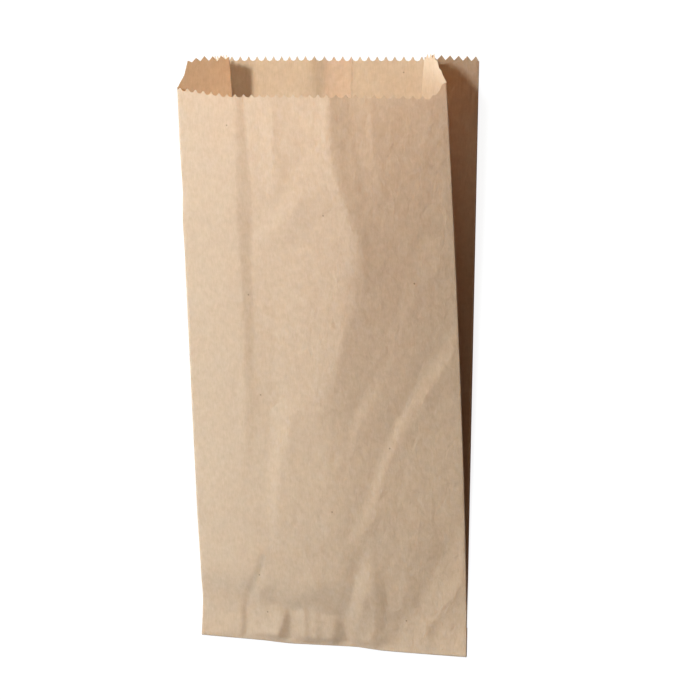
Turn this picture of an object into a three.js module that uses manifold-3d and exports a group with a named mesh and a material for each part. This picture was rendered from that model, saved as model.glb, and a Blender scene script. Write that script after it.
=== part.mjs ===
// An empty coffee bag lying on its back panel, with its mouth standing open.
// It is one sheet of brown kraft paper, folded into a tube with a gusset in each side and glued:
// a seam runs along the back panel, and the lower end is folded over to the back as a flat foot.
// X runs across the bag, Y from the foot to the mouth and Z up from the surface that it lies on.
// All sizes are in millimetres.

import * as THREE from "three";
import { mergeVertices } from "three/addons/utils/BufferGeometryUtils.js";
import Module from "manifold-3d";

// The sheet and its tube
const PAPER = 0.12;
const BAG_WIDTH = 140; // between the side folds
const BAG_LENGTH = 287; // from the foot's fold to the tips of the back lip's teeth
const GUSSET_HALF = 29.5; // from a side fold to the gusset's centre fold
const FOLD_RADIUS = 0.5; // middle of the paper in a fold
const SEAM_OVERLAP = 14;
const SEAM_EDGE = 5; // the overlap's free edge inside the bag, right of the middle

// The folded foot
const FLAP_LENGTH = 14;
const FLAP_LAYERS = 4;
const FLAP_FADE = 26; // how far above the flap the back panel still rises to clear it
const FOOT_DEPTH = 1.2; // back panel to front panel where the tube leaves the foot
const FOOT_CLEARANCE = 0.05; // glue around the tube's layers in the foot
const TUBE_SEAT = 0.5; // how deep the tube's layers sit in the foot

// How the bag stands open
const MOUTH_SLOPE = 44.5; // degrees that each half gusset leans from flat at the mouth
const LEFT_OPENING = 0.96; // how a side opens from foot to mouth: 1 is straight,
const RIGHT_OPENING = 1.34; // and above 1 it stays flatter near the foot
const CROWN_HEIGHT = 8; // how far the front panel bulges past its side folds at the mouth
const CROWN_RIDGE = 12; // the bulge's ridge, right of the middle
const CROWN_ROUNDING = 18;

// The creases of the front panel, each a ridge or hollow between two places above the foot
const CREASE_START = 30; // below this height the layers lie too close for a hollow
const CREASE_FULL = 110;
const CREASES = [
  { name: "print of the left gusset", from: [-39, 261], to: [-36, 150], width: 5, height: -1.4 },
  { name: "hollow beside the ridge", from: [25, 205], to: [14, 120], width: 8, height: -1.6 },
  { name: "upper diagonal", from: [67, 199], to: [41, 160], width: 7, height: 1.2 },
  { name: "long diagonal, upper end", from: [68, 154], to: [39, 114], width: 8, height: 1.8 },
  { name: "long diagonal, lower end", from: [39, 114], to: [23, 74], width: 5, height: 1.4 },
];

// The toothed cut of the mouth
const TOOTH_PITCH = 4.6;
const TOOTH_DEPTH = 2.2;
const LIP_DROP = 20.5; // how much lower the front lip is cut than the back one
const LIP_BAND = 3; // plain paper below the front lip's teeth
const LEFT_STEP = { onPanel: 1.2, onGusset: 5.5 }; // where the cut climbs, either side of the fold
const RIGHT_STEP = { onPanel: 6, onGusset: 13 };

// How finely the sheet is divided
const BODY_ROWS = 20;
const FOLD_STEPS = 3;
const CENTRE_STEPS = 2;
const FRONT_SPACING = TOOTH_PITCH;
const BACK_SPACING = 4 * TOOTH_PITCH;
const GUSSET_SPACING = 2 * TOOTH_PITCH;
const TOOTH_SPACING = TOOTH_PITCH / 2;
const SEAM_SLOPE = 0.1; // width of the step at each edge of the overlap

const { clamp, degToRad, lerp, smoothstep } = THREE.MathUtils;

/** Back panel to front panel at the mouth's corners, where the gussets lean by the mouth's slope. */
function mouthDepth() {
  const slope = degToRad(MOUTH_SLOPE);
  const half = (GUSSET_HALF - 2 * FOLD_RADIUS) * Math.sin(slope);
  return 2 * (FOLD_RADIUS + 2 * FOLD_RADIUS * Math.cos(slope) + half);
}

/** Distance from the back panel to the front panel at a height, at the left (-1) or right (1) side. */
function tubeDepth(y, side) {
  const rise = Math.max(0, (y - FLAP_LENGTH) / (BAG_LENGTH - FLAP_LENGTH));
  return lerp(FOOT_DEPTH, mouthDepth(), rise ** (side < 0 ? LEFT_OPENING : RIGHT_OPENING));
}

/** Level of the back panel's middle: on the ground, and raised by the folded flap near the foot. */
function backLevel(y) {
  const fade = smoothstep(y, FLAP_LENGTH, FLAP_LENGTH + FLAP_FADE);
  return PAPER / 2 + FLAP_LAYERS * PAPER * (1 - fade);
}

/** One side of the tube's section at a height: panel levels, fold radius, gusset length and slope. */
function sectionAt(y, side) {
  const depth = tubeDepth(y, side);
  const radius = Math.min(FOLD_RADIUS, depth / 6);
  const straight = GUSSET_HALF - 2 * radius;
  const reach = Math.hypot(straight, 2 * radius);
  const slope = Math.atan2(straight, 2 * radius) - Math.acos((depth / 2 - radius) / reach);
  const back = backLevel(y);
  return { radius, straight, slope, back, front: back + depth, middle: back + depth / 2 };
}

/** Height that a crease adds at a place: a rounded ridge along a line, fading past its ends. */
function creaseHeight({ from, to, width, height }, x, y) {
  const start = new THREE.Vector2(...from);
  const run = new THREE.Vector2(...to).sub(start);
  const offset = new THREE.Vector2(x, y).sub(start);
  const along = clamp(offset.dot(run) / run.lengthSq(), 0, 1);
  const gap = offset.addScaledVector(run, -along).length();
  return height * Math.exp(-((gap / width) ** 2));
}

/** How far the front panel stands out past its side folds: a rounded roof with its creases. */
function frontRelief(x, y) {
  const side = x < CROWN_RIDGE ? -1 : 1;
  const eave = (side * BAG_WIDTH) / 2;
  const rounded = (run) => Math.hypot(run, CROWN_ROUNDING) - CROWN_ROUNDING;
  const roof = 1 - rounded(x - CROWN_RIDGE) / rounded(eave - CROWN_RIDGE);
  const depth = (tubeDepth(y, -1) + tubeDepth(y, 1)) / 2;
  const crown = CROWN_HEIGHT * (depth / mouthDepth()) * roof;
  const inset = smoothstep(BAG_WIDTH / 2 - Math.abs(x), 0, TOOTH_PITCH);
  const strength = inset * smoothstep(y, CREASE_START, CREASE_FULL);
  const creased = CREASES.reduce((sum, crease) => sum + creaseHeight(crease, x, y), 0);
  return crown + strength * creased;
}

/** Layers of paper at a place across the back panel: two where the sheet's edges overlap. */
function backLayers(x) {
  return x > SEAM_EDGE - SEAM_OVERLAP && x < SEAM_EDGE ? 2 : 1;
}

// The zones around the tube, clockwise as seen from the foot. Side 1 is the right, -1 the left and
// 0 a panel; level 1 is the front and -1 the back. A backward zone runs from its inner or right end.
const ZONES = [
  { kind: "panel", side: 0, level: 1, backward: false },
  { kind: "fold", side: 1, level: 1, backward: false },
  { kind: "half", side: 1, level: 1, backward: false },
  { kind: "centre", side: 1, level: 1, backward: false },
  { kind: "centre", side: 1, level: -1, backward: true },
  { kind: "half", side: 1, level: -1, backward: true },
  { kind: "fold", side: 1, level: -1, backward: true },
  { kind: "panel", side: 0, level: -1, backward: true },
  { kind: "fold", side: -1, level: -1, backward: false },
  { kind: "half", side: -1, level: -1, backward: false },
  { kind: "centre", side: -1, level: -1, backward: false },
  { kind: "centre", side: -1, level: 1, backward: true },
  { kind: "half", side: -1, level: 1, backward: true },
  { kind: "fold", side: -1, level: 1, backward: true },
];

/** Place across the flat-pressed bag of a share of the way along a zone. */
function flatPlace(zone, share) {
  if (zone.kind === "panel") return (share - 0.5) * BAG_WIDTH;
  if (zone.kind === "half") return BAG_WIDTH / 2 - share * GUSSET_HALF;
  return zone.kind === "fold" ? BAG_WIDTH / 2 : BAG_WIDTH / 2 - GUSSET_HALF;
}

/** Middle of a panel's paper, [x, z], its outward normal and how many layers lie there. */
function panelPoint(zone, share, y) {
  const left = sectionAt(y, -1);
  const right = sectionAt(y, 1);
  const x = lerp(left.radius - BAG_WIDTH / 2, BAG_WIDTH / 2 - right.radius, share);
  const normal = [0, zone.level];
  if (zone.level < 0) return { middle: [x, backLevel(y)], normal, layers: backLayers(x) };
  const front = lerp(left.front, right.front, share);
  return { middle: [x, front + frontRelief(x, y)], normal, layers: 1 };
}

/** Middle of the paper, [x, z], and its outward normal on the right-hand front half of a gusset. */
function frontHalfPoint(zone, share, section) {
  const { radius, straight, slope, front, middle } = section;
  const foldX = BAG_WIDTH / 2 - radius;
  const foldZ = front - radius;
  if (zone.kind === "fold") {
    const turn = lerp(Math.PI / 2, slope - Math.PI / 2, share);
    const normal = [Math.cos(turn), Math.sin(turn)];
    return { middle: [foldX + radius * normal[0], foldZ + radius * normal[1]], normal };
  }
  if (zone.kind === "half") {
    const run = share * straight;
    const normal = [Math.sin(slope), -Math.cos(slope)];
    const x = foldX + radius * normal[0] - run * Math.cos(slope);
    const z = foldZ + radius * normal[1] - run * Math.sin(slope);
    return { middle: [x, z], normal };
  }
  const turn = lerp(Math.PI / 2 + slope, Math.PI, share);
  const normal = [-Math.cos(turn), -Math.sin(turn)];
  const centreX = foldX + 2 * radius * Math.sin(slope) - straight * Math.cos(slope);
  return { middle: [centreX - radius * normal[0], middle - radius * normal[1]], normal };
}

/** The same on either half of either gusset: the right-hand front half, mirrored as needed. */
function gussetPoint(zone, share, y) {
  const section = sectionAt(y, zone.side);
  const { middle, normal } = frontHalfPoint(zone, share, section);
  const z = zone.level > 0 ? middle[1] : 2 * section.middle - middle[1];
  return {
    middle: [zone.side * middle[0], z],
    normal: [zone.side * normal[0], zone.level * normal[1]],
    layers: 1,
  };
}

/** Outer and inner points of the paper at a share of the way along a zone and at a height. */
function paperAt(zone, share, y) {
  const place = zone.kind === "panel" ? panelPoint(zone, share, y) : gussetPoint(zone, share, y);
  const [x, z] = place.middle;
  const [normalX, normalZ] = place.normal;
  const offset = (distance) => new THREE.Vector3(x + distance * normalX, y, z + distance * normalZ);
  return { outer: offset(PAPER / 2), inner: offset(PAPER / 2 - place.layers * PAPER) };
}

/** Shares of a zone where it is divided, from 0 and without 1, at a spacing across the flat bag. */
function divisions(zone, spacing) {
  if (zone.kind === "fold" || zone.kind === "centre") {
    const steps = zone.kind === "fold" ? FOLD_STEPS : CENTRE_STEPS;
    return Array.from({ length: steps }, (_, step) => step / steps);
  }
  const panel = zone.kind === "panel";
  const places = [];
  const reach = Math.ceil(BAG_WIDTH / spacing);
  for (let count = -reach; count <= reach; count += 1) {
    places.push(count * spacing);
  }
  if (panel && zone.level < 0) {
    for (const edge of [SEAM_EDGE, SEAM_EDGE - SEAM_OVERLAP]) {
      places.push(edge - SEAM_SLOPE / 2, edge + SEAM_SLOPE / 2);
    }
  }
  const shareOf = (flat) => (panel ? flat / BAG_WIDTH + 0.5 : (BAG_WIDTH / 2 - flat) / GUSSET_HALF);
  const margin = FOLD_RADIUS / (panel ? BAG_WIDTH : GUSSET_HALF);
  const shares = places.map(shareOf).filter((share) => share > margin && share < 1 - margin);
  const forward = zone.backward ? shares.map((share) => 1 - share) : shares;
  return [0, ...forward.sort((a, b) => a - b)];
}

/** Height of the mouth's cut at a place: the lip, a climb across the side fold, then the back's. */
function cutHeight(zone, share) {
  const flat = flatPlace(zone, share);
  const teeth = Math.abs(flat / TOOTH_PITCH - Math.round(flat / TOOTH_PITCH));
  const notch = 2 * teeth * TOOTH_DEPTH;
  if (zone.level < 0 || zone.kind === "centre") return BAG_LENGTH - notch;
  const panel = zone.kind === "panel";
  const right = panel ? flat > 0 : zone.side > 0;
  const { onPanel, onGusset } = right ? RIGHT_STEP : LEFT_STEP;
  const pastFold = panel ? Math.abs(flat) - BAG_WIDTH / 2 : BAG_WIDTH / 2 - flat;
  const climb = clamp((pastFold + onPanel) / (onPanel + onGusset), 0, 1);
  return BAG_LENGTH - LIP_DROP * (1 - climb) - notch;
}

/** One closed row of the sheet: each point has a key that grows around the tube. */
function sheetRow(heightAt, spacingOf) {
  return ZONES.flatMap((zone, order) =>
    divisions(zone, spacingOf(zone)).map((step) => {
      const share = zone.backward ? 1 - step : step;
      return { key: order + step, ...paperAt(zone, share, heightAt(zone, share)) };
    }),
  );
}

/** Spacing of the divisions of a zone below the teeth. */
function bodySpacing(zone) {
  if (zone.kind === "half") return GUSSET_SPACING;
  return zone.level > 0 ? FRONT_SPACING : BACK_SPACING;
}

/** Triangles of the band between two closed rows: each one advances along the row that is behind. */
function bandTriangles(lower, upper) {
  const keyAfter = (row, place) => {
    if (place >= row.length) return Infinity;
    return row[place + 1]?.key ?? ZONES.length;
  };
  const triangles = [];
  let low = 0;
  let high = 0;
  while (low < lower.length || high < upper.length) {
    const lowPoint = lower[low % lower.length];
    const highPoint = upper[high % upper.length];
    if (keyAfter(lower, low) <= keyAfter(upper, high)) {
      low += 1;
      triangles.push([lowPoint, lower[low % lower.length], highPoint]);
    } else {
      high += 1;
      triangles.push([lowPoint, upper[high % upper.length], highPoint]);
    }
  }
  return triangles;
}

/** The tube of paper, from inside the foot to the toothed mouth, as a closed geometry. */
function tubeGeometry() {
  const top = BAG_LENGTH - LIP_DROP - TOOTH_DEPTH - LIP_BAND;
  const bottom = FLAP_LENGTH - TUBE_SEAT;
  const rows = [];
  for (let row = 0; row <= BODY_ROWS; row += 1) {
    const height = lerp(bottom, top, row / BODY_ROWS);
    rows.push(sheetRow(() => height, bodySpacing));
  }
  rows.push(sheetRow(cutHeight, () => TOOTH_SPACING));

  const corners = [];
  for (let row = 1; row < rows.length; row += 1) {
    for (const [a, b, c] of bandTriangles(rows[row - 1], rows[row])) {
      corners.push(a.outer, b.outer, c.outer);
      corners.push(a.inner, c.inner, b.inner);
    }
  }
  const closeEdge = (row, outward) => {
    row.forEach((here, place) => {
      const next = row[(place + 1) % row.length];
      const [first, second] = outward ? [here, next] : [next, here];
      corners.push(first.outer, second.outer, first.inner);
      corners.push(second.outer, second.inner, first.inner);
    });
  };
  closeEdge(rows[0], false);
  closeEdge(rows.at(-1), true);
  return new THREE.BufferGeometry().setFromPoints(corners);
}

/** The glued foot: all layers pressed into a flat slab with a round lower fold. */
function footGeometry() {
  const thickness = (FLAP_LAYERS + 1) * PAPER + FOOT_DEPTH + FOOT_CLEARANCE;
  const width = BAG_WIDTH + PAPER + 2 * FOOT_CLEARANCE;
  const profile = new THREE.Shape();
  profile.moveTo(FLAP_LENGTH, 0);
  profile.lineTo(FLAP_LENGTH, thickness);
  profile.lineTo(thickness / 2, thickness);
  profile.absarc(thickness / 2, thickness / 2, thickness / 2, Math.PI / 2, 1.5 * Math.PI);
  const extrusion = { depth: width, bevelEnabled: false, curveSegments: 6 };
  const slab = new THREE.ExtrudeGeometry(profile, extrusion);
  slab.translate(0, 0, -width / 2);
  slab.rotateY(Math.PI / 2);
  return slab.rotateX(Math.PI / 2);
}

const wasm = await Module();
wasm.setup();

/** A closed geometry as a solid that can be joined. */
function solidOf(geometry) {
  const bare = new THREE.BufferGeometry().setAttribute("position", geometry.getAttribute("position"));
  if (geometry.index) bare.setIndex(geometry.index);
  const merged = mergeVertices(bare, 1e-4);
  const vertProperties = new Float32Array(merged.getAttribute("position").array);
  const triVerts = new Uint32Array(merged.index.array);
  return new wasm.Manifold(new wasm.Mesh({ numProp: 3, vertProperties, triVerts }));
}

/** The whole bag as one body: the tube's layers end in the glued foot. */
function bagGeometry() {
  const { vertProperties, triVerts } = solidOf(tubeGeometry()).add(solidOf(footGeometry())).getMesh();
  const geometry = new THREE.BufferGeometry();
  geometry.setAttribute("position", new THREE.BufferAttribute(vertProperties, 3));
  geometry.setIndex(new THREE.BufferAttribute(triVerts, 1));
  geometry.computeVertexNormals();
  return geometry;
}

const kraftPaper = new THREE.MeshStandardMaterial({ color: 0xcdb094, roughness: 0.9, metalness: 0 });

const bag = new THREE.Mesh(bagGeometry(), kraftPaper);
bag.name = "paper_bag";
bag.position.y = -BAG_LENGTH / 2;

const coffeeBag = new THREE.Group();
coffeeBag.add(bag);

export default coffeeBag;
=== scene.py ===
"""An empty kraft paper coffee bag that lies on its back panel with its mouth standing open.

The bag is one sheet, folded into a tube with a gusset in each side, glued along the back, folded over
at the foot and cut in teeth at the mouth, lower at the front than at the back. Sizes are in
millimetres: X across the bag, Y from the foot's fold to the mouth and Z up from the ground.
"""

import math

import bpy
import numpy as np
from mathutils import Matrix, Vector


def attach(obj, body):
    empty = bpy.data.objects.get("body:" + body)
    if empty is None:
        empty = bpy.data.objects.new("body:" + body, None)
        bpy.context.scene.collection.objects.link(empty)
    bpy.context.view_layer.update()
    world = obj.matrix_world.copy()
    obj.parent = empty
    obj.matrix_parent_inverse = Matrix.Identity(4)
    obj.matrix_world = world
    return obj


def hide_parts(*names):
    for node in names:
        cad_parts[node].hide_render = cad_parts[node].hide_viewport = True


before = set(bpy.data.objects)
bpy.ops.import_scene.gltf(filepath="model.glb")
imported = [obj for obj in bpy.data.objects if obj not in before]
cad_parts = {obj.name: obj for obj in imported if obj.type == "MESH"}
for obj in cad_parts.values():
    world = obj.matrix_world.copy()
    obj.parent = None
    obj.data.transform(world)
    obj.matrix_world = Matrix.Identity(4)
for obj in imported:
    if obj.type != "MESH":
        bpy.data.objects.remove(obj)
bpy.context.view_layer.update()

MM = 0.001

# The sheet and its tube
PAPER = 0.12
BAG_WIDTH = 140.8
HALF_WIDTH = BAG_WIDTH / 2
BAG_LENGTH = 288.0
MIDDLE = 143.5  # the frame's origin, as a height above the foot
GUSSET_HALF = 28.4  # from a side fold to the gusset's centre fold
FOLD_RADIUS = 0.5  # middle of the paper in a fold

# The glued seam along the back panel
SEAM_EDGE = 5.0  # the overlap's free edge inside the bag, right of the middle
SEAM_OVERLAP = 14.0
SEAM_START = SEAM_EDGE - SEAM_OVERLAP  # the overlap's free edge outside the bag
SEAM_LIFT = 30.0  # how far left of the overlap the sheet starts to rise onto it
SEAM_STEP = 0.06  # half the width of the step at a free edge

# The folded foot
FLAP_LENGTH = 14.0
FLAP_FADE = 26.0  # how far above the flap the back panel still rises to clear it
PRESSED_DEPTH = 0.45  # back panel to front panel in the foot, between the middles of the paper
PRESSED_HEIGHT = 4.0  # up to here the foot keeps its pressed depth
PRESSED_THICKNESS = PRESSED_DEPTH + PAPER
LEAST_DEPTH = 0.3  # back panel to front panel in the deepest valley
BEND_RADIUS = 0.06  # inside the foot's fold
FOOT_NOSE = BEND_RADIUS + PRESSED_THICKNESS  # height at which the foot's fold begins
FOOT_LEVEL = 2 * BEND_RADIUS + PRESSED_THICKNESS  # the back panel's outer face over the flap

# How far the foot's fold runs past its straight line, at places across
FOOT_DROP = ([-70, -36, -22, 0, 14, 26, 36, 70], [1.0, 0.9, 1.3, 0.4, 0.0, 0.7, 0.7, 0.2])

# How the bag stands open: a side's opening of 1 is straight, and one above 1 stays flatter near the foot
MOUTH_DEPTH = 42.4
OPENING_START = 34.0  # up to here the opening eases in
LEFT_OPENING = 0.96
RIGHT_OPENING = 1.34

# How far the front's side folds lie in at the mouth, and the left side's pinch at heights above the foot
LEFT_INSET = 0.8
RIGHT_INSET = 1.9
LEFT_PINCH = ([0, 8, 19, 36, 60, 195, 207, 222, 240], [-0.3, 0, 0.6, 0.6, 0.1, 0, -0.3, 0.5, 0])

# The toothed cut of the mouth: how far below the back lip the front lip is cut at places across, and the
# gussets at distances from their side fold
TOOTH_PITCH = 4.6
TOOTH_DEPTH = 2.3
LIP_TOOTH_DEPTH = 1.6
VALLEY_ROUNDNESS = 2.7  # 1 is a straight-sided tooth
CLIMB_WIDTH = 14.0  # distance from a side fold at which a gusset's teeth reach their full depth
LIP_DROP = ([-70, -42, 64, 70], [16.6, 19.9, 20.0, 13.8])
LEFT_CLIMB = ([0, 3.9, 4.6, 14, 22, 28], [16.6, 10.0, 4.2, 1.2, 1.2, 0])
RIGHT_CLIMB = ([0, 14], [13.8, 0])

# The crown of the front panel: its crest from the foot to the mouth as a place along, a place across and a
# height, and how each side falls to its side fold, at the foot and at the mouth: 1 is straight, 2 is round
CREST = np.array([
    (0, 8, 0), (18, 10, 4.2), (40, 9, 6.6), (60, 8, 7.8), (105, 6, 8), (146, 13, 9.2), (194, 22, 11.4),
    (225, 20, 12.6), (250, 15, 12), (287, 9, 8.9),
], float)
LEFT_ROUNDNESS = (1.9, 1.5)
RIGHT_ROUNDNESS = (1.5, 1.4)

# Creases of the front panel: a height, negative for a valley, how far the crease reaches to the left and to
# the right of its line as one walks along it, and the line as places across and along
CREASES = {
    "print of the left gusset": (0.45, 14, 3, [
        (-42, 74), (-38, 115), (-38, 180), (-39, 220), (-36, 255), (-36, 310),
    ]),
    "valley beside the print": (-0.45, 3, 6, [
        (-34, 128), (-32, 165), (-33, 190), (-30, 222), (-32, 250), (-33, 310),
    ]),
    "hollow beside the print": (-0.9, 16, 20, [(-26, 100), (-22, 150), (-22, 200), (-21, 270)]),
    "fold in the hollow": (0.55, 8, 5, [(-15, 212), (-18, 238), (-16, 258), (-16, 310)]),
    "ridge": (1.3, 9, 6, [(29, 178), (27, 204), (17, 229), (14, 245), (17, 310)]),
    "foot of the ridge": (0.6, 13, 7, [(0, 102), (7, 132), (19, 158), (30, 190), (28, 212)]),
    "valley beside the ridge": (-0.4, 4, 8, [(37, 202), (31, 222), (28, 240), (24, 258), (27, 310)]),
    "arc": (0.45, 6, 5, [(-27, 199), (-13, 206), (-7, 212), (-3, 226)]),
    "arc, far edge": (-0.3, 5, 6, [(-36, 204), (-13, 218), (-8, 225), (-4, 236), (4, 250)]),
    "facet below the arc": (-0.25, 5, 5, [(-15, 189), (-6, 198), (2, 205), (9, 213)]),
    "upper diagonal": (0.25, 4, 5, [(44, 162), (56, 181), (62, 189), (76, 206)]),
    "upper diagonal, far edge": (-0.3, 5, 4, [(34, 152), (41, 165), (53, 183), (60, 210)]),
    "long diagonal": (0.45, 2.5, 6, [(24, 62), (31, 86), (41, 107), (51, 122), (60, 136), (92, 182)]),
    "long diagonal, far edge": (-0.45, 6, 3.5, [(21, 66), (28, 88), (38, 111), (52, 136), (84, 182)]),
    "short ridge": (0.25, 5, 4, [(16, 100), (26, 112), (35, 130)]),
    "short ridge, far edge": (-0.35, 6, 5, [(10, 105), (22, 121), (34, 141)]),
    "bulge below the diagonal": (0.25, 4, 4, [(16, 53), (26, 63), (34, 76)]),
    "bulge, far edge": (-0.3, 4, 3, [(11, 52), (18, 65), (24, 78)]),
    "left stem": (0.45, 7, 7, [(-24, 52), (-23, 78), (-17, 102), (-11, 124)]),
    "left stem, far edge": (-0.45, 9, 8, [(-33, 44), (-30, 70), (-27, 104), (-24, 128)]),
    "dip beside the right edge": (-0.3, 5, 4, [(63, 192), (62, 246)]),
    "streak beside the right edge": (0.45, 3, 4, [(40, 215), (36, 242), (35, 270)]),
    "lower left crest": (0.45, 10, 3, [(-46, 24), (-38, 38), (-33, 47)]),
    "lower left crest, far edge": (-0.35, 3, 3, [(-46, 18), (-36, 36), (-31, 45)]),
    "lower left fold": (0.3, 4, 5, [(-41, 14), (-36, 24), (-31, 34)]),
    "fold above the band": (0.5, 4, 5, [(-27, 24), (-18, 23), (-8, 27), (1, 30)]),
    "lower ridge": (0.3, 5, 3, [(14, 9), (21, 26), (25, 38), (21, 57)]),
    "lower ridge, far edge": (-0.65, 5, 4, [(5, 8), (15, 31), (22, 55)]),
    "groove": (0.6, 5, 4, [(20, -8), (25, 14), (26, 32), (25, 46)]),
    "groove, far edge": (-0.4, 3, 5, [(28, -10), (30, 10), (32, 25), (29, 50)]),
    "rim of the lower hollow": (0.3, 8, 5, [(38, 9), (41, 35), (54, 70)]),
    "lower hollow": (-0.65, 8, 11, [(40, 11), (52, 34), (67, 63)]),
    "corner ridge": (0.45, 3, 5, [(48, 9), (62, 26), (77, 51)]),
    "band line": (-0.6, 3.5, 2, [(-44, 18), (-30, 18), (-18, 16), (14, 15)]),
    "step in the band": (0.3, 5, 1.5, [(-48.5, -12), (-48, 21)]),
    "step in the band, far edge": (-0.4, 1.5, 4, [(-45.5, -12), (-46, 21)]),
    "first pleat": (1.2, 8, 3, [(-35, -12), (-27, 6), (-22, 16)]),
    "first pleat, far edge": (-0.8, 3, 2, [(-22, -14), (-21.5, 17)]),
    "small tile": (0.4, 3, 2, [(-14, 0), (-13, 18)]),
    "tile edge": (0.5, 5, 2, [(-8, -10), (-7, 18)]),
    "second pleat": (1.1, 10, 3, [(-5, -12), (2, 6), (6, 17)]),
    "second pleat, far edge": (-0.75, 3, 2, [(11.5, -12), (8, 6), (6, 18)]),
    "third pleat": (-0.45, 4, 4, [(33, -4), (36, 9), (40, 17)]),
    "nick in the band": (0.4, 4, 2, [(50, 2), (51, 19)]),
}
CREASE_TIP = 0.25  # rounding of a crease's tip, as a share of its narrower reach
EDGE_FADE = 5.0  # width beside a side fold in which creases fade

# Waves of the back panel: height, place across, and how far the wave reaches to the left and to the right
BACK_WAVES = {
    "steep wave": (3.6, -16.5, 15, 7),
    "low wave": (0.8, 22, 14, 14),
}
WAVES_START = 190.0  # height at which they rise from nothing

# How finely the sheet is divided: spacings across, steps round a fold and rows along
PANEL_SPACING = TOOTH_PITCH / 4
GUSSET_SPACING = TOOTH_PITCH / 2
LEAST_GAP = 0.3  # between a division and a fold, as a share of the spacing
FOLD_STEPS = 5
CENTRE_STEPS = 3
FLAP_ROWS = 4
TURN_ROWS = 9
BAND_ROWS = 16
BAND_HEIGHT = 18.0  # up to here the rows above the foot lie close together
BODY_ROWS = 108
LIP_ROWS = 7
LIP_MARGIN = 6.0  # plain paper below the lowest cut
SHARP_FOLD = math.radians(60)

# Colours of the paper, as linear light
DARK_FIBRE = (0.545, 0.385, 0.262, 1)
PALE_FIBRE = (0.665, 0.490, 0.350, 1)
SPECK = (0.16, 0.09, 0.05, 1)
# Painted light: this makes the inner face paler and warmer, standing in for the warm light that bounces
# inside the bag and shines through its paper
INNER_GLOW_TINT = (1.09, 1.03, 0.98, 1)  # multiplies the colour of the inner face

# Sockets of a Mix node by number, because its kinds share their names
MIX_FACTOR = 0
FIRST_NUMBER, SECOND_NUMBER = 2, 3
FIRST_COLOUR, SECOND_COLOUR = 6, 7
NUMBER_RESULT, COLOUR_RESULT = 0, 2

# The studio: the floor's reach and the lamps' target in metres, and for each soft box its direction from
# the bag, its distance and size in metres, its watts and its colour
FLOOR_REACH = 20.0
EVEN_LIGHT = (0.128, 0.07, 0.037)
LAMP_TARGET = (0, 0, 0.02)
LAMPS = {
    "key_lamp": ((-0.14, 0.25, 0.96), 2.2, (0.3, 0.25), 40.4, (0.89, 0.963, 1)),
    "left_lamp": ((-1.3, -0.05, 0.2), 1.35, (0.3, 0.7), 24.3, (0.713, 0.858, 1)),
    "mouth_lamp": ((-0.2, 0.93, 0.32), 1.5, (0.9, 0.4), 15.9, (1, 0.99, 0.885)),
}

# The photograph's camera: its place, the directions in which it looks and stands up, and its lens
CAMERA_PLACE = (511.9, 233.6, 1217.2)
CAMERA_LOOK = (-0.3826, -0.0667, -0.9215)
CAMERA_UP = (-0.0425, 0.9976, -0.0546)
CAMERA_LENS = 139.3
SENSOR_WIDTH = 36


def smoothstep(value, low, high):
    """Rises from 0 at low to 1 at high along 3 s^2 - 2 s^3."""
    share = np.clip((value - low) / (high - low), 0, 1)
    return share * share * (3 - 2 * share)


def lerp(start, end, share):
    """The straight blend start + (end - start) * share."""
    return start + (end - start) * share


def tube_depth(y, side):
    """Back panel to front panel along a side fold: the pressed foot's depth plus a power of the share of
    the way to the mouth, which starts softly above the foot."""
    rise = np.clip((y - FOOT_NOSE) / (BAG_LENGTH - FOOT_NOSE), 0, 1)
    opened = (MOUTH_DEPTH - PRESSED_DEPTH) * rise ** (LEFT_OPENING if side < 0 else RIGHT_OPENING)
    return PRESSED_DEPTH + opened * smoothstep(y, PRESSED_HEIGHT, OPENING_START)


def fold_radius(depth):
    """Radius of a fold: tighter where the tube is less than six radii deep."""
    return np.minimum(FOLD_RADIUS, depth / 6)


def ground_gap(y):
    """Level of the back panel's outer face: raised by the folded flap and down on the ground above it."""
    return FOOT_LEVEL * (1 - smoothstep(y, FLAP_LENGTH, FLAP_LENGTH + FLAP_FADE))


def cut_corners(line):
    """A smoother line of points: every corner is cut at a quarter and three quarters of its runs."""
    first, second = line[:-1], line[1:]
    cut = np.stack([0.75 * first + 0.25 * second, 0.25 * first + 0.75 * second], 1)
    return np.concatenate([line[:1], cut.reshape(-1, line.shape[1]), line[-1:]])


def crease_height(x, y, height, left_reach, right_reach, points):
    """A ridge or valley along a line: the height times exp(-d / reach), where d is the distance to the line
    with its tip rounded and each side has its own reach. It fades to nothing at both ends by
    1 - (2 t - 1)^4, where t is the share of the way along the line."""
    line = cut_corners(cut_corners(np.array(points, float)))
    walked = np.concatenate([[0], np.cumsum(np.hypot(*np.diff(line, axis=0).T))])
    rounding = min(left_reach, right_reach) * CREASE_TIP
    nearest = np.full(x.shape, np.inf)
    crease = np.zeros(x.shape)
    for (x0, y0), (x1, y1), start, end in zip(line[:-1], line[1:], walked[:-1], walked[1:]):
        run_x, run_y = x1 - x0, y1 - y0
        share = np.clip(((x - x0) * run_x + (y - y0) * run_y) / (run_x**2 + run_y**2), 0, 1)
        gap = np.hypot(x - x0 - share * run_x, y - y0 - share * run_y)
        on_left = run_x * (y - y0) > run_y * (x - x0)
        fall = (np.hypot(gap, rounding) - rounding) / np.where(on_left, left_reach, right_reach)
        fade = 1 - (2 * lerp(start, end, share) / walked[-1] - 1) ** 4
        crease = np.where(gap < nearest, height * fade * np.exp(-fall), crease)
        nearest = np.minimum(gap, nearest)
    return crease


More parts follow.
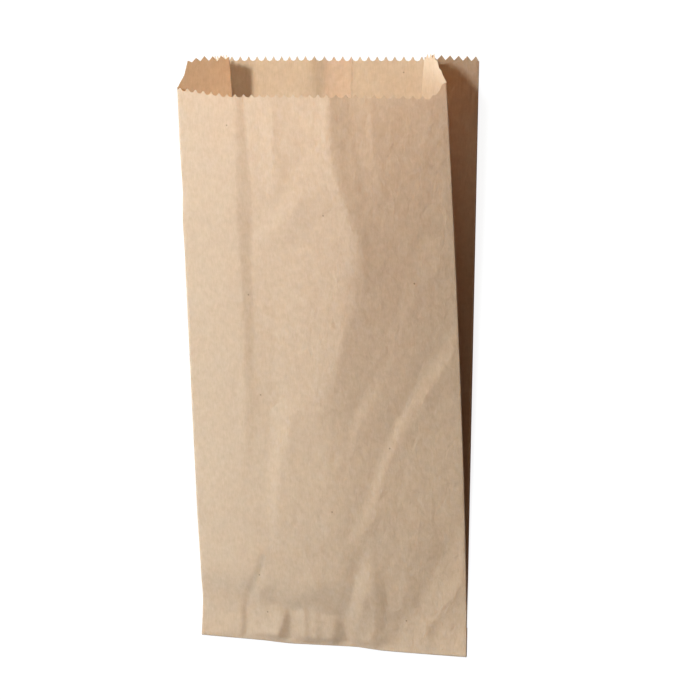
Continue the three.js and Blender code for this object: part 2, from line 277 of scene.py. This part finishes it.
def cubic_weights(value, knots):
    """Shares of the knots' values at each place: a cubic between two knots, whose slope at a knot is that
    of the line through its neighbours."""
    unit = np.eye(len(knots))
    slope = np.gradient(unit, knots, axis=0)
    left = np.clip(np.searchsorted(knots, value, side="right") - 1, 0, len(knots) - 2)
    width = (knots[left + 1] - knots[left])[..., None]
    share = np.clip((value - knots[left])[..., None] / width, 0, 1)
    rise = share * share * (3 - 2 * share)
    bend = slope[left] * (1 - share) - slope[left + 1] * share
    return lerp(unit[left], unit[left + 1], rise) + width * share * (1 - share) * bend


def crown_height(x, y):
    """Height of the crown: the crest's height times 1 - s^p, where s is the share of the way from the crest
    to the side fold and p is how round that side is."""
    along = cubic_weights(y, CREST[:, 0])
    crest_x, crest_height = along @ CREST[:, 1], along @ CREST[:, 2]
    on_left = x < crest_x
    share = np.abs(x - crest_x) / (HALF_WIDTH + np.where(on_left, crest_x, -crest_x))
    way_up = y / BAG_LENGTH
    roundness = np.where(on_left, lerp(*LEFT_ROUNDNESS, way_up), lerp(*RIGHT_ROUNDNESS, way_up))
    return crest_height * (1 - np.minimum(share, 1) ** roundness)


def front_relief(x, y):
    """How far the front panel stands past its side folds: its crown, with creases that fade beside them."""
    creased = sum(crease_height(x, y, *crease) for crease in CREASES.values())
    return crown_height(x, y) + smoothstep(HALF_WIDTH - np.abs(x), 0, EDGE_FADE) * creased


def back_relief(x, y):
    """Waves of the back panel that grow towards the mouth: each is its height times exp(-(d / reach)^2),
    where d is the distance from its place and each side has its own reach."""
    waves = sum(
        height * np.exp(-(((x - place) / np.where(x < place, left_reach, right_reach)) ** 2))
        for height, place, left_reach, right_reach in BACK_WAVES.values()
    )
    return smoothstep(y, WAVES_START, BAG_LENGTH) * waves


def panel_zone(share, y, level, relief_share):
    """Outer and inner faces of the front (1) or back (-1) panel, at shares of the way from left to right.
    The front panel is stretched between the two side folds, and carries its relief. The back panel
    steps by one layer of paper at each edge of its glued overlap."""
    left, right = tube_depth(y, -1), tube_depth(y, 1)
    x = lerp(fold_radius(left) - HALF_WIDTH, HALF_WIDTH - fold_radius(right), share)
    if level > 0:
        depth = lerp(left, right, share)
        relief = np.maximum(front_relief(x, y) * smoothstep(y, 0, PRESSED_HEIGHT), LEAST_DEPTH - depth)
        z = ground_gap(y) + PAPER / 2 + depth + relief_share * relief
        return x, z + PAPER / 2, x, z - PAPER / 2
    z = ground_gap(y) + back_relief(x, y)
    lifted = smoothstep(x, SEAM_START - SEAM_LIFT, SEAM_START)
    inner = PAPER * (1 + (x < SEAM_EDGE) * lifted)
    outer = PAPER * (x < SEAM_START) * lifted
    return x, z + outer, x, z + inner


def gusset_zone(kind, share, y, side, level):
    """Outer and inner faces of one stretch of a gusset. A half gusset is straight and leans so that both
    halves span the depth; it leaves the panel round the side fold and meets the other half round the
    centre fold. The right-hand front half is worked out and mirrored to the other places."""
    depth = tube_depth(y, side)
    radius = fold_radius(depth)
    straight = GUSSET_HALF - 2 * radius
    lean = np.arccos((depth / 2 - radius) / np.hypot(straight, 2 * radius))
    slope = np.arctan2(straight, 2 * radius) - lean
    fold_x, fold_z = HALF_WIDTH - radius, depth / 2 - radius
    if kind == "fold":
        turn = lerp(math.pi / 2, slope - math.pi / 2, share)
        normal_x, normal_z = np.cos(turn), np.sin(turn)
        x, z = fold_x + radius * normal_x, fold_z + radius * normal_z
    elif kind == "half":
        normal_x, normal_z = np.sin(slope), -np.cos(slope)
        x = fold_x + radius * normal_x - share * straight * np.cos(slope)
        z = fold_z + radius * normal_z - share * straight * np.sin(slope)
    else:
        turn = lerp(math.pi / 2 + slope, math.pi, share)
        normal_x, normal_z = -np.cos(turn), -np.sin(turn)
        x = fold_x + 2 * radius * np.sin(slope) - straight * np.cos(slope) - radius * normal_x
        z = -radius * normal_z
    middle = ground_gap(y) + PAPER / 2 + depth / 2

    def face(offset):
        return side * (x + offset * normal_x), middle + level * (z + offset * normal_z)

    return *face(PAPER / 2), *face(-PAPER / 2)


def cut_height(flat, level, kind, side):
    """Height of the mouth's cut at places across the flat-pressed bag: pointed teeth with round valleys,
    on the back lip's line at the back and lower at the front, with a climb on the gussets between."""
    phase = np.abs(flat / TOOTH_PITCH - np.round(flat / TOOTH_PITCH))
    depth = LIP_TOOTH_DEPTH if kind == "panel" and level > 0 else TOOTH_DEPTH
    notch = depth * (1 - (1 - 2 * phase) ** VALLEY_ROUNDNESS)
    if level < 0 or kind == "centre":
        return BAG_LENGTH - notch
    if kind == "panel":
        return BAG_LENGTH - np.interp(flat, *LIP_DROP) - notch
    reach = HALF_WIDTH - flat
    drop = np.interp(reach, *(LEFT_CLIMB if side < 0 else RIGHT_CLIMB))
    return BAG_LENGTH - drop - notch * smoothstep(reach, 0, CLIMB_WIDTH)


# The stretches around the tube, clockwise as seen from the foot: kind, side, level and whether the
# stretch is walked backwards, from its inner or right end
ZONES = [
    ("panel", 0, 1, False),
    ("fold", 1, 1, False),
    ("half", 1, 1, False),
    ("centre", 1, 1, False),
    ("centre", 1, -1, True),
    ("half", 1, -1, True),
    ("fold", 1, -1, True),
    ("panel", 0, -1, True),
    ("fold", -1, -1, False),
    ("half", -1, -1, False),
    ("centre", -1, -1, False),
    ("centre", -1, 1, True),
    ("half", -1, 1, True),
    ("fold", -1, 1, True),
]


def zone_shares(kind, level, backward):
    """Shares of the way along a stretch at which the sheet is divided, each with its start and without its
    end: whole parts of a tooth on panels and gussets, with the overlap's edges on the back panel."""
    if kind in ("fold", "centre"):
        steps = FOLD_STEPS if kind == "fold" else CENTRE_STEPS
        shares = np.arange(steps) / steps
        return 1 - shares if backward else shares
    if kind == "panel":
        reach = math.floor(HALF_WIDTH / PANEL_SPACING - LEAST_GAP)
        flat = np.arange(-reach, reach + 1) * PANEL_SPACING
        if level < 0:
            edges = np.array([SEAM_EDGE, SEAM_START])
            flat = np.unique(np.concatenate([flat, edges - SEAM_STEP, edges + SEAM_STEP]))
        shares = np.concatenate([[0], flat / BAG_WIDTH + 0.5])
    else:
        first = math.ceil((HALF_WIDTH - GUSSET_HALF) / GUSSET_SPACING + LEAST_GAP)
        count = np.arange(first, HALF_WIDTH / GUSSET_SPACING - LEAST_GAP)
        shares = np.concatenate([[0], np.sort((HALF_WIDTH - count * GUSSET_SPACING) / GUSSET_HALF)])
    if not backward:
        return shares
    return np.concatenate([[1], np.sort(shares[1:])[::-1]])


def sheet_rows():
    """Rows of the sheet from the flap's end to the mouth: its run along the flap, its turn in the foot's
    fold, its height on the tube, and its share of the way from the uppermost plain row to the cut."""
    flap = np.linspace(FLAP_LENGTH - FOOT_NOSE, 0, FLAP_ROWS + 1)[:-1]
    turn = np.linspace(math.pi, 0, TURN_ROWS + 1)[:-1]
    band = np.linspace(FOOT_NOSE, BAND_HEIGHT, BAND_ROWS + 1)[:-1]
    plain_top = BAG_LENGTH - max(LIP_DROP[1]) - TOOTH_DEPTH - LIP_MARGIN
    tube = np.concatenate([band, np.linspace(BAND_HEIGHT, plain_top, BODY_ROWS)])
    lip = np.linspace(0, 1, LIP_ROWS + 1)[1:]
    counts = [len(flap), len(turn), len(tube), len(lip)]

    def stack(*parts):
        """Values of all the rows, from one value or a list of them for each of the four groups."""
        return np.concatenate([np.broadcast_to(part, count) for count, part in zip(counts, parts)])

    return (
        stack(flap, 0.0, 0.0, 0.0),
        stack(math.pi, turn, 0.0, 0.0),
        stack(FOOT_NOSE, FOOT_NOSE, tube, plain_top),
        stack(0.0, 0.0, 0.0, lip),
    )


def zone_grid(zone, rows):
    """Outer and inner points of one stretch of the sheet, as two grids of rows by divisions. Rows below
    the foot's fold are carried round it: a point h above the back panel's outer face turns at the
    distance bend radius + h about an axis one bend radius below that face."""
    kind, side, level, backward = zone
    flap_run, turn, plain, lip = (row[:, None] for row in rows)
    share = zone_shares(kind, level, backward)
    flat = {
        "panel": (share - 0.5) * BAG_WIDTH,
        "half": HALF_WIDTH - share * GUSSET_HALF,
        "fold": np.full(share.shape, HALF_WIDTH),
        "centre": np.full(share.shape, HALF_WIDTH - GUSSET_HALF),
    }[kind]
    y = lerp(plain, cut_height(flat, level, kind, side), lip)
    share = np.broadcast_to(share, y.shape)
    if kind == "panel":
        outer_x, outer_z, inner_x, inner_z = panel_zone(share, y, level, (1 + np.cos(turn)) / 2)
    else:
        outer_x, outer_z, inner_x, inner_z = gusset_zone(kind, share, y, side, level)
    grids = []
    for x, z in ((outer_x, outer_z), (inner_x, inner_z)):
        reach = BEND_RADIUS + z - FOOT_LEVEL
        folded_y = FOOT_NOSE - reach * np.sin(turn) + flap_run
        folded_z = FOOT_LEVEL - BEND_RADIUS + reach * np.cos(turn)
        in_fold = turn > 0
        final_y = np.where(in_fold, folded_y, y)
        final_y = final_y - np.interp(x, *FOOT_DROP) * (1 - smoothstep(final_y, 0, FLAP_LENGTH))
        opened = np.clip((z - ground_gap(y)) / MOUTH_DEPTH, 0, 1)
        inset = np.where(x < 0, LEFT_INSET * opened + np.interp(y, *LEFT_PINCH), RIGHT_INSET * opened)
        x = x * (1 - inset / HALF_WIDTH)
        grids.append(np.stack([x, final_y, np.where(in_fold, folded_z, z)], -1))
    return grids


def band_faces(lower, upper):
    """Four-cornered faces between two closed rows of vertex numbers."""
    return np.stack([lower, np.roll(lower, -1, -1), np.roll(upper, -1, -1), upper], -1).reshape(-1, 4)


def paper_bag():
    """The whole sheet as one closed skin: its outer face, its inner face and the cut edges between. The
    attribute inner_face is 0 on the outer face and 1 on the inner one."""
    rows = sheet_rows()
    zones = [zone_grid(zone, rows) for zone in ZONES]
    outer = np.concatenate([grids[0] for grids in zones], 1)
    inner = np.concatenate([grids[1] for grids in zones], 1)
    points = np.concatenate([outer.reshape(-1, 3), inner.reshape(-1, 3)])
    points = (points - (0, MIDDLE, 0)) * MM

    number = np.arange(outer.shape[0] * outer.shape[1]).reshape(outer.shape[:2])
    inside = number + number.size
    faces = np.concatenate([
        band_faces(number[:-1], number[1:]),
        band_faces(inside[:-1], inside[1:])[:, ::-1],
        band_faces(number[-1], inside[-1]),
        band_faces(number[0], inside[0])[:, ::-1],
    ])
    mesh = bpy.data.meshes.new("bag_sheet")
    mesh.from_pydata(points, [], faces)
    mesh.validate()
    inner_face = mesh.attributes.new("inner_face", "FLOAT", "POINT")
    inner_face.data.foreach_set("value", np.repeat([0.0, 1.0], number.size))
    mesh.polygons.foreach_set("use_smooth", np.ones(len(mesh.polygons), bool))
    mesh.set_sharp_from_angle(angle=SHARP_FOLD)
    bag = bpy.data.objects.new("bag_sheet", mesh)
    bpy.context.collection.objects.link(bag)
    return bag


def add_node(tree, kind, **settings):
    """A shader node with its settings: properties by their names, and values of its inputs by theirs, with
    underscores for spaces."""
    node = tree.nodes.new(kind)
    for name, value in settings.items():
        if hasattr(node, name):
            setattr(node, name, value)
        else:
            node.inputs[name.replace("_", " ")].default_value = value
    return node


def fibre_tone(tree, place):
    """Cloudy tone of the fibres, mixed with fine streaks along the sheet."""
    link = tree.links.new
    clouds = add_node(tree, "ShaderNodeTexNoise", Scale=320.0, Detail=4.0, Roughness=0.6)
    link(place, clouds.inputs["Vector"])
    along = add_node(tree, "ShaderNodeMapping", Scale=(1.0, 0.16, 1.0))
    link(place, along.inputs["Vector"])
    streaks = add_node(tree, "ShaderNodeTexNoise", Scale=1500.0, Detail=3.0, Roughness=0.6)
    link(along.outputs["Vector"], streaks.inputs["Vector"])
    tone = add_node(tree, "ShaderNodeMix", data_type="FLOAT")
    tone.inputs[MIX_FACTOR].default_value = 0.45
    link(clouds.outputs["Fac"], tone.inputs[FIRST_NUMBER])
    link(streaks.outputs["Fac"], tone.inputs[SECOND_NUMBER])
    return tone.outputs[NUMBER_RESULT]


def paper_colour(tree, place, tone):
    """The fibres' colour with a few dark specks, made a little paler and warmer on the inner face as
    painted light for the warm glow that bounces inside the bag.
    """
    link = tree.links.new
    fibres = add_node(tree, "ShaderNodeValToRGB")
    dark, pale = fibres.color_ramp.elements
    dark.position, pale.position = 0.3, 0.7
    dark.color, pale.color = DARK_FIBRE, PALE_FIBRE
    link(tone, fibres.inputs["Fac"])
    cells = add_node(tree, "ShaderNodeTexVoronoi", voronoi_dimensions="2D", Scale=17.0)
    link(place, cells.inputs["Vector"])
    speck = add_node(tree, "ShaderNodeMapRange", From_Min=0.005, From_Max=0.009, To_Min=0.55, To_Max=0.0)
    link(cells.outputs["Distance"], speck.inputs["Value"])
    specked = add_node(tree, "ShaderNodeMix", data_type="RGBA")
    link(speck.outputs["Result"], specked.inputs[MIX_FACTOR])
    link(fibres.outputs["Color"], specked.inputs[FIRST_COLOUR])
    specked.inputs[SECOND_COLOUR].default_value = SPECK
    inner_face = add_node(tree, "ShaderNodeAttribute", attribute_name="inner_face")
    # painted light: the inner face is lifted and warmed to stand in for the light bouncing inside the bag
    inner_glow = add_node(tree, "ShaderNodeMix", data_type="RGBA", blend_type="MULTIPLY")
    link(inner_face.outputs["Fac"], inner_glow.inputs[MIX_FACTOR])
    link(specked.outputs[COLOUR_RESULT], inner_glow.inputs[FIRST_COLOUR])
    inner_glow.inputs[SECOND_COLOUR].default_value = INNER_GLOW_TINT
    return inner_glow.outputs[COLOUR_RESULT]


def paper_relief(tree, place, tone):
    """Normals of shallow wrinkles that are weaker towards the left edge, with the fibres on them."""
    link = tree.links.new
    drawn_out = add_node(tree, "ShaderNodeMapping", Scale=(1.0, 0.62, 1.0))
    link(place, drawn_out.inputs["Vector"])
    wrinkles = add_node(tree, "ShaderNodeTexNoise", Scale=175.0, Detail=3.0, Roughness=0.5, Distortion=0.4)
    link(drawn_out.outputs["Vector"], wrinkles.inputs["Vector"])
    across = add_node(tree, "ShaderNodeSeparateXYZ")
    link(place, across.inputs["Vector"])
    handled = add_node(tree, "ShaderNodeMapRange", From_Min=-0.05, From_Max=0.045)
    handled.inputs["To Min"].default_value = 0.0001
    handled.inputs["To Max"].default_value = 0.00062
    link(across.outputs["X"], handled.inputs["Value"])
    height = add_node(tree, "ShaderNodeMath", operation="MULTIPLY")
    link(wrinkles.outputs["Fac"], height.inputs[0])
    link(handled.outputs["Result"], height.inputs[1])
    wrinkled = add_node(tree, "ShaderNodeBump", Strength=1.0, Distance=1.0)
    link(height.outputs[0], wrinkled.inputs["Height"])
    fibres = add_node(tree, "ShaderNodeBump", Strength=0.3, Distance=0.00004)
    link(tone, fibres.inputs["Height"])
    link(wrinkled.outputs["Normal"], fibres.inputs["Normal"])
    return fibres.outputs["Normal"]


def kraft_paper():
    """Unbleached, uncoated kraft that lets some light through."""
    material = bpy.data.materials.new("kraft_paper")
    material.use_nodes = True
    tree = material.node_tree
    link = tree.links.new
    shader = tree.nodes["Principled BSDF"]
    shader.inputs["IOR"].default_value = 1.35
    shader.inputs["Subsurface Weight"].default_value = 0.9
    shader.inputs["Subsurface Radius"].default_value = (1.0, 0.8, 0.6)
    shader.inputs["Subsurface Scale"].default_value = 0.0004

    place = add_node(tree, "ShaderNodeTexCoord").outputs["Object"]
    tone = fibre_tone(tree, place)
    link(paper_colour(tree, place, tone), shader.inputs["Base Color"])
    gloss = add_node(tree, "ShaderNodeMapRange", To_Min=0.72, To_Max=0.9)
    link(tone, gloss.inputs["Value"])
    link(gloss.outputs["Result"], shader.inputs["Roughness"])
    link(paper_relief(tree, place, tone), shader.inputs["Normal"])
    return material


def seen_directly(tree):
    """A mask of 1 for what the camera, a gloss or a clear piece shows, and 0 for light that bounces."""
    paths = add_node(tree, "ShaderNodeLightPath")
    seen = add_node(tree, "ShaderNodeMath", operation="MAXIMUM")
    tree.links.new(paths.outputs["Is Camera Ray"], seen.inputs[0])
    tree.links.new(paths.outputs["Is Glossy Ray"], seen.inputs[1])
    through = add_node(tree, "ShaderNodeMath", operation="MAXIMUM")
    tree.links.new(seen.outputs[0], through.inputs[0])
    tree.links.new(paths.outputs["Is Transmission Ray"], through.inputs[1])
    return through.outputs[0]


def white_sweep():
    """White to the camera with the bag's soft shadow on it, and dim to the light that bounces, so that the
    bag keeps the depth of its own shadows."""
    material = bpy.data.materials.new("white_sweep")
    material.use_nodes = True
    tree = material.node_tree
    tree.nodes.clear()
    link = tree.links.new
    glow = add_node(tree, "ShaderNodeEmission", Color=(1, 1, 1, 1), Strength=0.9)
    shade = add_node(tree, "ShaderNodeBsdfDiffuse", Color=(0.14, 0.14, 0.14, 1))
    white = add_node(tree, "ShaderNodeAddShader")
    link(glow.outputs[0], white.inputs[0])
    link(shade.outputs[0], white.inputs[1])
    dim = add_node(tree, "ShaderNodeBsdfDiffuse", Color=(0.11, 0.11, 0.11, 1))
    mixed = add_node(tree, "ShaderNodeMixShader")
    link(seen_directly(tree), mixed.inputs[0])
    link(dim.outputs[0], mixed.inputs[1])
    link(white.outputs[0], mixed.inputs[2])
    out = add_node(tree, "ShaderNodeOutputMaterial")
    link(mixed.outputs[0], out.inputs["Surface"])
    return material


def studio_floor():
    """A level white square under the bag."""
    mesh = bpy.data.meshes.new("studio_floor")
    corners = np.array([(-1, -1, 0), (1, -1, 0), (1, 1, 0), (-1, 1, 0)]) * FLOOR_REACH
    mesh.from_pydata(corners, [], [(0, 1, 2, 3)])
    mesh.materials.append(white_sweep())
    floor = bpy.data.objects.new("studio_floor", mesh)
    bpy.context.collection.objects.link(floor)
    return floor


def white_world():
    """White behind the sweep, and a little even light on the bag from all round."""
    world = bpy.data.worlds.new("studio")
    world.use_nodes = True
    tree = world.node_tree
    colour = add_node(tree, "ShaderNodeMix", data_type="RGBA")
    tree.links.new(seen_directly(tree), colour.inputs[MIX_FACTOR])
    colour.inputs[FIRST_COLOUR].default_value = (*EVEN_LIGHT, 1)
    colour.inputs[SECOND_COLOUR].default_value = (1, 1, 1, 1)
    tree.links.new(colour.outputs[COLOUR_RESULT], tree.nodes["Background"].inputs["Color"])
    bpy.context.scene.world = world


def soft_lamp(name, direction, distance, size, watts, colour):
    """A rectangular soft box that faces the bag's middle from a direction."""
    lamp = bpy.data.lights.new(name, "AREA")
    lamp.shape = "RECTANGLE"
    lamp.size, lamp.size_y = size
    lamp.energy = watts
    lamp.color = colour
    holder = bpy.data.objects.new(name, lamp)
    bpy.context.collection.objects.link(holder)
    way = Vector(direction).normalized()
    holder.location = Vector(LAMP_TARGET) + way * distance
    holder.rotation_euler = way.to_track_quat("Z", "Y").to_euler()
    holder.visible_camera = False


def photo_camera():
    """The photograph's view of the front panel, from the right and a little towards the mouth."""
    camera = bpy.data.cameras.new("photo_camera")
    camera.lens = CAMERA_LENS
    camera.sensor_width = SENSOR_WIDTH
    camera.clip_end = 50
    holder = bpy.data.objects.new("photo_camera", camera)
    bpy.context.collection.objects.link(holder)
    look = Vector(CAMERA_LOOK).normalized()
    right = look.cross(Vector(CAMERA_UP)).normalized()
    up = right.cross(look)
    turn = Matrix((right, up, -look)).transposed()
    x, y, z = CAMERA_PLACE
    place = Vector((x, y - MIDDLE, z)) * MM
    holder.matrix_world = Matrix.Translation(place) @ turn.to_4x4()
    bpy.context.scene.camera = holder


bag = paper_bag()
bag.data.materials.append(kraft_paper())
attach(bag, "root")
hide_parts("paper_bag")

floor = studio_floor()
white_world()
for lamp_name, lamp_settings in LAMPS.items():
    soft_lamp(lamp_name, *lamp_settings)
photo_camera()
bpy.context.scene.view_settings.view_transform = "Standard"
